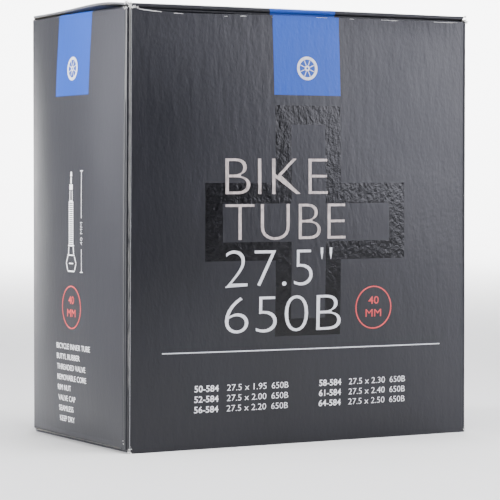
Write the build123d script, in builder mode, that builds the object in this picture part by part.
from build123d import *
from math import cos, pi, radians, sin
import os

# A boxed bicycle inner tube: a straight-tuck folding carton with hinged flaps at
# the top and the base, and the folded butyl tube with its threaded valve inside.
# Millimetres, +Z up, front panel towards -Y. The origin is the centre of the
# rectangle that the carton stands on.

os.makedirs("parts", exist_ok=True)

# ---------------------------------------------------------------- carton sizes
CARTON_WIDTH = 99.0         # along X
CARTON_DEPTH = 58.0         # along Y
CARTON_HEIGHT = 110.0       # along Z
BOARD = 0.5                 # thickness of the folding boxboard
CREASE_RADIUS = 0.4         # outside rounding of the folded vertical edges
CREASE_GAP = 0.3            # daylight at a crease between two hinged panels

SEAM_SETBACK = 1.0          # the front panel's raw edge stops short of the corner
SEAM_FLAP_WIDTH = 15.0
SEAM_FLAP_INSET = 4.0       # the seam flap is shorter than the panels at each end
ADHESIVE = 0.1              # thickness of the glue film
ADHESIVE_WIDTH = 8.0
ADHESIVE_INSET = 5.0

LID_INSET = 0.7             # the closure panels are narrower than the carton
TUCK_CREASE_Y = -28.0       # front crease of both closure panels
TUCK_INSET = 1.2
TUCK_START = 1.0            # the flap begins this far below its crease
TUCK_LENGTH = 14.0
TUCK_LEAN = 16.0            # degrees that a tucked flap leans inwards
TUCK_CORNER = 8.0

DUST_LENGTH = 42.0
DUST_DROP = 0.35            # gap between a closure panel and the dust flap under it
DUST_FRONT_Y = -25.9
DUST_BACK_CLEAR = 1.0
DUST_TAPER = 0.52           # the hinge-side edge runs in by this much per millimetre
DUST_FRONT_TAPER = 2.5
DUST_CORNER = 5.0

HALF_WIDTH = CARTON_WIDTH / 2
HALF_DEPTH = CARTON_DEPTH / 2
RAW_EDGE_DROP = 0.8         # the front panel's raw top edge lies below the lid
DUST_LEVEL = BOARD + DUST_DROP
SIDE_EDGE = DUST_LEVEL + BOARD + CREASE_GAP
BACK_EDGE = BOARD + CREASE_GAP

# ------------------------------------------------------------------ tube sizes
FLAT_WIDTH = 49.0           # width of the empty tube pressed flat
LAYER = 2.3                 # two butyl walls lying on each other
PITCH = 3.2                 # spacing of the folded layers
FULL_LAYERS = 20
HALF_RUN = 40.75            # half of a straight run between two folds
TUBE_Y = 2.6                # the bundle sits towards the back, clear of the tucks
FIRST_LAYER_Z = 2.8
NOSE_X = -22.0              # the fold that carries the valve

PATCH = 0.8
PATCH_HALF_WIDTH = 12.0
PATCH_START = -75           # degrees round the nose fold, from straight ahead
PATCH_SWEEP = 165

BAND_WIDTH = 6.0
BAND = 0.8
BAND_CORNER = 2.0

# ----------------------------------------------------------------- valve sizes
# Distances along the stem start at the centre of the nose fold.
STEM_TILT = 20.0            # degrees above horizontal
STEM_START = 3.0
STEM_LENGTH = 40.0
STEM_RADIUS = 3.0
NECK_RADIUS = 2.6           # the thinner thread that takes the cap
NECK_LENGTH = 7.5
STEM_BORE = 1.35
CORE_SEAT = 33.5
CORE_BORE = 2.05
FOOT_RADIUS = 3.6           # flange that the rubber boss is moulded round
FOOT_START = 3.3
FOOT_END = 4.1
NECK_TAPER = 0.9
MOUTH_CHAMFER = 0.3
BOSS_START = 2.9
BOSS_END = 7.0
BOSS_FOOT_RADIUS = 4.2
BOSS_TOP_RADIUS = 3.6

NUT_START = 14.0
NUT_HEIGHT = 3.5
NUT_RADIUS = 6.75
NUT_BORE = STEM_RADIUS + 0.1
NUT_FLUTES = 30
NUT_FLUTE_RADIUS = 0.35

CORE_RADIUS = 2.0
CORE_NOSE_RADIUS = 1.6
CORE_NOSE_START = 33.9
CORE_THREAD_START = 35.0
COLLAR_START = 43.05
COLLAR_END = 45.6
COLLAR_RADIUS = 2.5
COLLAR_FLATS = 4.2
PIN_RADIUS = 0.85
PIN_BORE = PIN_RADIUS + 0.1
PIN_START = 31.2
PIN_END = 50.6
PIN_HEAD_RADIUS = 1.1
PIN_BEAD_RADIUS = 1.05      # peened end that keeps the lock nut on
SEAL_RADIUS = 1.2
SEAL_START = 31.9
SEAL_END = 33.75
LOCK_NUT_START = 47.2
LOCK_NUT_HEIGHT = 2.4
LOCK_NUT_RADIUS = 2.0
LOCK_NUT_FLUTES = 14
LOCK_NUT_FLUTE_RADIUS = 0.22

CAP_START = 36.5
CAP_END = 52.3
CAP_MOUTH_RADIUS = 4.0
CAP_TIP_RADIUS = 3.1
CAP_BORE = 2.7
CAP_ROOF = 51.2
CAP_FLUTES = 10
CAP_FLUTE_RADIUS = 0.45
CAP_FLUTE_LENGTH = 4.5


def finish(builder, name):
    """Label a finished piece and write it as its own STEP file."""
    builder.part.label = name
    export_step(builder.part, f"parts/{name}.step")


def upright_panel(x_range, y_range, z_range, rounded_corners=()):
    """A board panel between two corners, with some vertical folds rounded."""
    with BuildPart() as panel:
        with BuildSketch(Plane.XY.offset(z_range[0])):
            with Locations((sum(x_range) / 2, sum(y_range) / 2)):
                Rectangle(x_range[1] - x_range[0], y_range[1] - y_range[0])
        extrude(amount=z_range[1] - z_range[0])
        for x, y in rounded_corners:
            corner = Vector(x, y, sum(z_range) / 2)
            fillet(panel.edges().filter_by(Axis.Z).sort_by_distance(corner)[0], CREASE_RADIUS)
    return panel


# --------------------------------------------------------------------- sleeve
front_y = -HALF_DEPTH
back_y = HALF_DEPTH
seam_face_y = front_y + BOARD + ADHESIVE

front_panel = upright_panel(
    (-HALF_WIDTH + SEAM_SETBACK, HALF_WIDTH),
    (front_y, front_y + BOARD),
    (0, CARTON_HEIGHT - RAW_EDGE_DROP),
    [(HALF_WIDTH, front_y)],
)
finish(front_panel, "front_panel")

right_side_panel = upright_panel(
    (HALF_WIDTH - BOARD, HALF_WIDTH),
    (front_y + BOARD, back_y),
    (SIDE_EDGE, CARTON_HEIGHT - SIDE_EDGE),
    [(HALF_WIDTH, back_y)],
)
finish(right_side_panel, "right_side_panel")

back_panel = upright_panel(
    (-HALF_WIDTH + BOARD, HALF_WIDTH - BOARD),
    (back_y - BOARD, back_y),
    (BACK_EDGE, CARTON_HEIGHT - BACK_EDGE),
)
finish(back_panel, "back_panel")

left_side_panel = upright_panel(
    (-HALF_WIDTH, -HALF_WIDTH + BOARD),
    (seam_face_y + BOARD, back_y),
    (SIDE_EDGE, CARTON_HEIGHT - SIDE_EDGE),
    [(-HALF_WIDTH, back_y)],
)
finish(left_side_panel, "left_side_panel")

seam_flap = upright_panel(
    (-HALF_WIDTH, -HALF_WIDTH + SEAM_FLAP_WIDTH),
    (seam_face_y, seam_face_y + BOARD),
    (SEAM_FLAP_INSET, CARTON_HEIGHT - SEAM_FLAP_INSET),
    [(-HALF_WIDTH, seam_face_y)],
)
finish(seam_flap, "seam_flap")

adhesive_x = -HALF_WIDTH + SEAM_FLAP_WIDTH / 2 - ADHESIVE_WIDTH / 2
seam_adhesive = upright_panel(
    (adhesive_x, adhesive_x + ADHESIVE_WIDTH),
    (front_y + BOARD, seam_face_y),
    (ADHESIVE_INSET, CARTON_HEIGHT - ADHESIVE_INSET),
)
finish(seam_adhesive, "seam_adhesive")


# -------------------------------------------------- lid and base, with tucks
def closure_panel(z_low):
    """The flat panel that covers one end of the carton."""
    depth = HALF_DEPTH - TUCK_CREASE_Y
    with BuildPart() as panel:
        with BuildSketch(Plane.XY.offset(z_low)):
            with Locations((0, HALF_DEPTH - depth / 2)):
                Rectangle(CARTON_WIDTH - 2 * LID_INSET, depth)
        extrude(amount=BOARD)
    return panel


def tuck_flap(z_crease, rise):
    """The flap tucked behind the front panel; rise is -1 where it hangs, 1 where it stands."""
    lean = radians(TUCK_LEAN)
    flap_plane = Plane(
        origin=(0, TUCK_CREASE_Y, z_crease),
        x_dir=(-rise, 0, 0),
        z_dir=(0, cos(lean), -rise * sin(lean)),
    )
    with BuildPart() as flap:
        with BuildSketch(flap_plane) as outline:
            with Locations((0, (TUCK_START + TUCK_LENGTH) / 2)):
                Rectangle(CARTON_WIDTH - 2 * TUCK_INSET, TUCK_LENGTH - TUCK_START)
            fillet(outline.vertices().sort_by(Axis.Y)[-2:], TUCK_CORNER)
        extrude(amount=BOARD)
    return flap


def dust_flap(side, z_low):
    """The short flap under a closure panel; side is -1 on the left, 1 on the right."""
    tip_back = HALF_DEPTH - DUST_BACK_CLEAR - DUST_TAPER * DUST_LENGTH
    fold_x = side * HALF_WIDTH
    tip_x = side * (HALF_WIDTH - DUST_LENGTH)
    with BuildPart() as flap:
        with BuildSketch(Plane.XY.offset(z_low)) as outline:
            with BuildLine():
                Polyline(
                    (fold_x, DUST_FRONT_Y),
                    (tip_x, DUST_FRONT_Y + DUST_FRONT_TAPER),
                    (tip_x, tip_back),
                    (fold_x, HALF_DEPTH - DUST_BACK_CLEAR),
                    close=True,
                )
            make_face()
            tip_corners = outline.vertices().filter_by_position(Axis.X, tip_x - 1, tip_x + 1)
            fillet(tip_corners, DUST_CORNER)
        extrude(amount=BOARD)
    return flap


lid_panel = closure_panel(CARTON_HEIGHT - BOARD)
finish(lid_panel, "lid_panel")
lid_tuck_flap = tuck_flap(CARTON_HEIGHT, -1)
finish(lid_tuck_flap, "lid_tuck_flap")

base_panel = closure_panel(0)
finish(base_panel, "base_panel")
base_tuck_flap = tuck_flap(0, 1)
finish(base_tuck_flap, "base_tuck_flap")

for end_name, flap_z in (("top", CARTON_HEIGHT - DUST_LEVEL - BOARD), ("base", DUST_LEVEL)):
    for side_name, side in (("left", -1), ("right", 1)):
        finish(dust_flap(side, flap_z), f"{end_name}_dust_flap_{side_name}")


# ----------------------------------------------------------------- folded tube
def layer_z(index):
    return FIRST_LAYER_Z + index * PITCH


# The loop is laid double and folded back and forth, so each turn is two nested
# half rings. The top pair of layers is short and ends in the fold with the valve.
bundle_plane = Plane(origin=(0, TUBE_Y, 0), x_dir=(1, 0, 0), z_dir=(0, -1, 0))
nose_z = layer_z(FULL_LAYERS + 0.5)
turns = FULL_LAYERS // 2
top_run = NOSE_X + HALF_RUN

half_rings = [(-HALF_RUN, layer_z(0.5), PITCH / 2, 90), (NOSE_X, nose_z, PITCH / 2, -90)]
for turn in range(turns):
    on_left = (turns - 1 - turn) % 2 == 0
    for radius in (PITCH / 2, 3 * PITCH / 2):
        if on_left:
            half_rings.append((-HALF_RUN, layer_z(2 * turn + 1.5), radius, 90))
        else:
            half_rings.append((HALF_RUN, layer_z(2 * turn + 1.5), radius, -90))

with BuildPart() as tube_body:
    with BuildSketch(bundle_plane):
        for index in range(FULL_LAYERS):
            with Locations((0, layer_z(index))):
                Rectangle(2 * HALF_RUN, LAYER)
        for index in (FULL_LAYERS, FULL_LAYERS + 1):
            with Locations((NOSE_X - top_run / 2, layer_z(index))):
                Rectangle(top_run, LAYER)
        for x, z, radius, start in half_rings:
            with BuildLine():
                outside = CenterArc((x, z), radius + LAYER / 2, start, 180)
                inside = CenterArc((x, z), radius - LAYER / 2, start, 180)
                Line(outside @ 0, inside @ 0)
                Line(outside @ 1, inside @ 1)
            make_face()
    extrude(amount=FLAT_WIDTH / 2, both=True)
finish(tube_body, "tube_body")

run_lengths = FULL_LAYERS * 2 * HALF_RUN + 2 * top_run
turn_lengths = turns * 2 * pi * PITCH + pi * PITCH
print(f"loop of tube: {run_lengths + turn_lengths:.0f} mm round, {FLAT_WIDTH} mm flat")


# ----------------------------------------------------------------------- valve
tilt = radians(STEM_TILT)
stem_plane = Plane(
    origin=(NOSE_X, TUBE_Y, nose_z), x_dir=(0, 1, 0), z_dir=(cos(tilt), 0, sin(tilt))
)
stem_line = Axis(stem_plane.origin, stem_plane.z_dir)
# Outlines of turned pieces have the radius along x and the way up the stem along y.
section_plane = Plane(
    origin=stem_plane.origin, x_dir=(0, 1, 0), z_dir=stem_plane.x_dir.cross(stem_plane.z_dir)
)
stem_end = STEM_START + STEM_LENGTH
nose_radius = PITCH / 2 + LAYER / 2


def turned(points):
    """A solid of revolution about the stem, from (radius, distance) points."""
    with BuildPart() as piece:
        with BuildSketch(section_plane):
            with BuildLine():
                Polyline(*points, close=True)
            make_face()
        revolve(axis=stem_line)
    return piece


neck_start = stem_end - NECK_LENGTH
valve_stem = turned([
    (STEM_BORE, STEM_START),
    (STEM_RADIUS, STEM_START),
    (STEM_RADIUS, FOOT_START),
    (FOOT_RADIUS, FOOT_START),
    (FOOT_RADIUS, FOOT_END),
    (STEM_RADIUS, FOOT_END),
    (STEM_RADIUS, neck_start - NECK_TAPER),
    (NECK_RADIUS, neck_start),
    (NECK_RADIUS, stem_end - MOUTH_CHAMFER),
    (NECK_RADIUS - MOUTH_CHAMFER, stem_end),
    (CORE_BORE, stem_end),
    (CORE_BORE, CORE_SEAT),
    (STEM_BORE, CORE_SEAT),
])
finish(valve_stem, "valve_stem")

# The patch is moulded round the nose fold, with a boss that grips the stem's foot.
with BuildPart() as valve_base_patch:
    with BuildSketch(bundle_plane):
        with BuildLine():
            outside = CenterArc((NOSE_X, nose_z), nose_radius + PATCH, PATCH_START, PATCH_SWEEP)
            inside = CenterArc((NOSE_X, nose_z), nose_radius, PATCH_START, PATCH_SWEEP)
            Line(outside @ 0, inside @ 0)
            Line(outside @ 1, inside @ 1)
        make_face()
    extrude(amount=PATCH_HALF_WIDTH, both=True)
    with BuildSketch(stem_plane.offset(BOSS_START)):
        Circle(BOSS_FOOT_RADIUS)
    with BuildSketch(stem_plane.offset(BOSS_END)):
        Circle(BOSS_TOP_RADIUS)
    loft()
    with BuildSketch(stem_plane):
        Circle(STEM_BORE)
    extrude(amount=BOSS_END, mode=Mode.SUBTRACT)
    with BuildSketch(stem_plane.offset(STEM_START)):
        Circle(STEM_RADIUS)
    extrude(amount=BOSS_END, mode=Mode.SUBTRACT)
    with BuildSketch(stem_plane.offset(FOOT_START)):
        Circle(FOOT_RADIUS)
    extrude(amount=FOOT_END - FOOT_START, mode=Mode.SUBTRACT)
finish(valve_base_patch, "valve_base_patch")

with BuildPart() as rim_nut:
    with BuildSketch(stem_plane.offset(NUT_START)):
        Circle(NUT_RADIUS)
        with PolarLocations(NUT_RADIUS, NUT_FLUTES):
            Circle(NUT_FLUTE_RADIUS, mode=Mode.SUBTRACT)
        Circle(NUT_BORE, mode=Mode.SUBTRACT)
    extrude(amount=NUT_HEIGHT)
finish(rim_nut, "rim_nut")

with BuildPart() as valve_core_body:
    add(turned([
        (PIN_BORE, CORE_NOSE_START),
        (CORE_NOSE_RADIUS, CORE_NOSE_START),
        (CORE_NOSE_RADIUS, CORE_THREAD_START),
        (CORE_RADIUS, CORE_THREAD_START),
        (CORE_RADIUS, COLLAR_START),
        (COLLAR_RADIUS, COLLAR_START),
        (COLLAR_RADIUS, COLLAR_END - 0.3),
        (COLLAR_RADIUS - 0.5, COLLAR_END),
        (PIN_BORE, COLLAR_END),
    ]).part)
    # Two flats across the collar take a core key.
    with BuildSketch(stem_plane.offset(COLLAR_START)):
        Circle(COLLAR_RADIUS + 1)
        Rectangle(COLLAR_FLATS, 2 * COLLAR_RADIUS + 2, mode=Mode.SUBTRACT)
    extrude(amount=COLLAR_END - COLLAR_START, mode=Mode.SUBTRACT)
finish(valve_core_body, "valve_core_body")

core_gasket = turned([
    (CORE_NOSE_RADIUS, CORE_NOSE_START + 0.05),
    (CORE_RADIUS, CORE_NOSE_START + 0.05),
    (CORE_RADIUS, CORE_THREAD_START),
    (CORE_NOSE_RADIUS, CORE_THREAD_START),
])
finish(core_gasket, "core_gasket")

core_pin = turned([
    (0, PIN_START),
    (PIN_HEAD_RADIUS - 0.3, PIN_START),
    (PIN_HEAD_RADIUS, PIN_START + 0.3),
    (PIN_HEAD_RADIUS, SEAL_START),
    (PIN_RADIUS, SEAL_START),
    (PIN_RADIUS, PIN_END - 0.7),
    (PIN_BEAD_RADIUS, PIN_END - 0.5),
    (PIN_BEAD_RADIUS, PIN_END - 0.2),
    (PIN_RADIUS, PIN_END),
    (0, PIN_END),
])
finish(core_pin, "core_pin")

pin_seal = turned([
    (PIN_RADIUS, SEAL_START),
    (SEAL_RADIUS, SEAL_START),
    (SEAL_RADIUS, SEAL_END - 0.6),
    (SEAL_RADIUS - 0.2, SEAL_END),
    (PIN_RADIUS, SEAL_END),
])
finish(pin_seal, "pin_seal")

with BuildPart() as lock_nut:
    with BuildSketch(stem_plane.offset(LOCK_NUT_START)):
        Circle(LOCK_NUT_RADIUS)
        with PolarLocations(LOCK_NUT_RADIUS, LOCK_NUT_FLUTES):
            Circle(LOCK_NUT_FLUTE_RADIUS, mode=Mode.SUBTRACT)
        Circle(PIN_BORE, mode=Mode.SUBTRACT)
    extrude(amount=LOCK_NUT_HEIGHT)
finish(lock_nut, "lock_nut")

with BuildPart() as valve_cap:
    add(turned([
        (CAP_BORE, CAP_START),
        (CAP_MOUTH_RADIUS, CAP_START),
        (CAP_MOUTH_RADIUS, CAP_START + 5),
        (CAP_TIP_RADIUS + 0.2, CAP_END - 1.5),
        (CAP_TIP_RADIUS - 0.5, CAP_END - 0.3),
        (CAP_TIP_RADIUS - 1.2, CAP_END),
        (0, CAP_END),
        (0, CAP_ROOF),
        (CAP_BORE - 0.5, CAP_ROOF),
        (CAP_BORE, CAP_ROOF - 0.6),
    ]).part)
    with BuildSketch(stem_plane.offset(CAP_START)):
        with PolarLocations(CAP_MOUTH_RADIUS, CAP_FLUTES):
            Circle(CAP_FLUTE_RADIUS)
    extrude(amount=CAP_FLUTE_LENGTH, mode=Mode.SUBTRACT)
finish(valve_cap, "valve_cap")


# ------------------------------------------------------------------ rubber band
band_plane = Plane.YZ.offset(-BAND_WIDTH / 2)
full_top = layer_z(FULL_LAYERS - 1) + LAYER / 2
full_bottom = FIRST_LAYER_Z - LAYER / 2
full_height = full_top - full_bottom

with BuildPart() as rubber_band:
    with BuildSketch(band_plane):
        with Locations((TUBE_Y, full_bottom + full_height / 2)):
            RectangleRounded(FLAT_WIDTH + 2 * BAND, full_height + 2 * BAND, BAND_CORNER)
            Rectangle(FLAT_WIDTH, full_height, mode=Mode.SUBTRACT)
    extrude(amount=BAND_WIDTH)
finish(rubber_band, "rubber_band")
